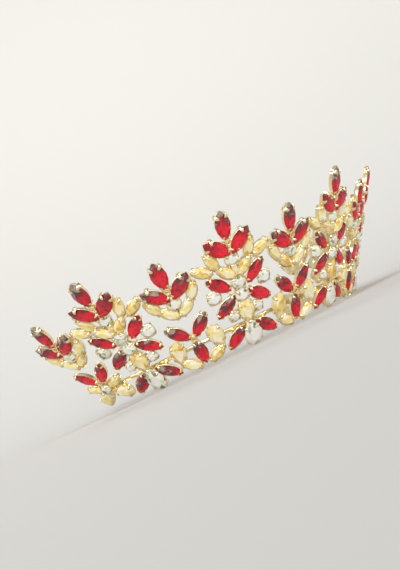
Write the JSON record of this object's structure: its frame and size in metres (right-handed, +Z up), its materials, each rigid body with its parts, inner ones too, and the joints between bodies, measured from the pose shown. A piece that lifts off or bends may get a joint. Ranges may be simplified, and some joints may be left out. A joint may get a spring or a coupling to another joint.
{
  "type": "bridal crown",
  "caption": "Open-backed bridal crown of gilt openwork castings set with red, champagne and clear cut stones, flaring upwards to leaf-shaped crests.",
  "frame": {"origin": "bottom centre of the crown's bounding box, on the surface that it stands on", "axes": "+X across the crown to the wearer's left, -Y towards the front, +Z up"},
  "size_m": [0.22, 0.124, 0.0587],
  "materials": {
    "gilt_metal": "polished gold plating",
    "red_crystal": "cut and polished",
    "champagne_crystal": "cut and polished",
    "clear_crystal": "cut and polished"
  },
  "bodies": {
    "root": {"back_rail": "gilt_metal", "crest_stone_01_left": "red_crystal", "crest_stone_01_right": "red_crystal", "crest_stone_01_top": "red_crystal", "crest_stone_02_left": "red_crystal", "crest_stone_02_right": "red_crystal", "crest_stone_02_top": "red_crystal", "crest_stone_03_left": "red_crystal", "crest_stone_03_right": "red_crystal", "crest_stone_03_top": "red_crystal", "crest_stone_04_left": "red_crystal", "crest_stone_04_right": "red_crystal", "crest_stone_04_top": "red_crystal", "crest_stone_05_left": "red_crystal", "crest_stone_05_right": "red_crystal", "crest_stone_05_top": "red_crystal", "crest_stone_06_left": "red_crystal", "crest_stone_06_right": "red_crystal", "crest_stone_06_top": "red_crystal", "crest_stone_07_left": "red_crystal", "crest_stone_07_right": "red_crystal", "crest_stone_07_top": "red_crystal", "crest_stone_08_left": "red_crystal", "crest_stone_08_right": "red_crystal", "crest_stone_08_top": "red_crystal", "crest_stone_09_left": "red_crystal", "crest_stone_09_right": "red_crystal", "crest_stone_09_top": "red_crystal", "crest_stone_10_left": "red_crystal", "crest_stone_10_right": "red_crystal", "crest_stone_10_top": "red_crystal", "crest_stone_11_left": "red_crystal", "crest_stone_11_right": "red_crystal", "crest_stone_11_top": "red_crystal", "flower_01": "gilt_metal", "flower_03": "gilt_metal", "flower_05": "gilt_metal", "flower_07": "gilt_metal", "flower_09": "gilt_metal", "flower_11": "gilt_metal", "garland_01": "gilt_metal", "garland_03": "gilt_metal", "garland_05": "gilt_metal", "garland_07": "gilt_metal", "garland_09": "gilt_metal", "garland_11": "gilt_metal", "tall_motif_02": "gilt_metal", "tall_motif_04": "gilt_metal", "tall_motif_06": "gilt_metal", "tall_motif_08": "gilt_metal", "tall_motif_10": "gilt_metal"}
  },
  "joints": []
}
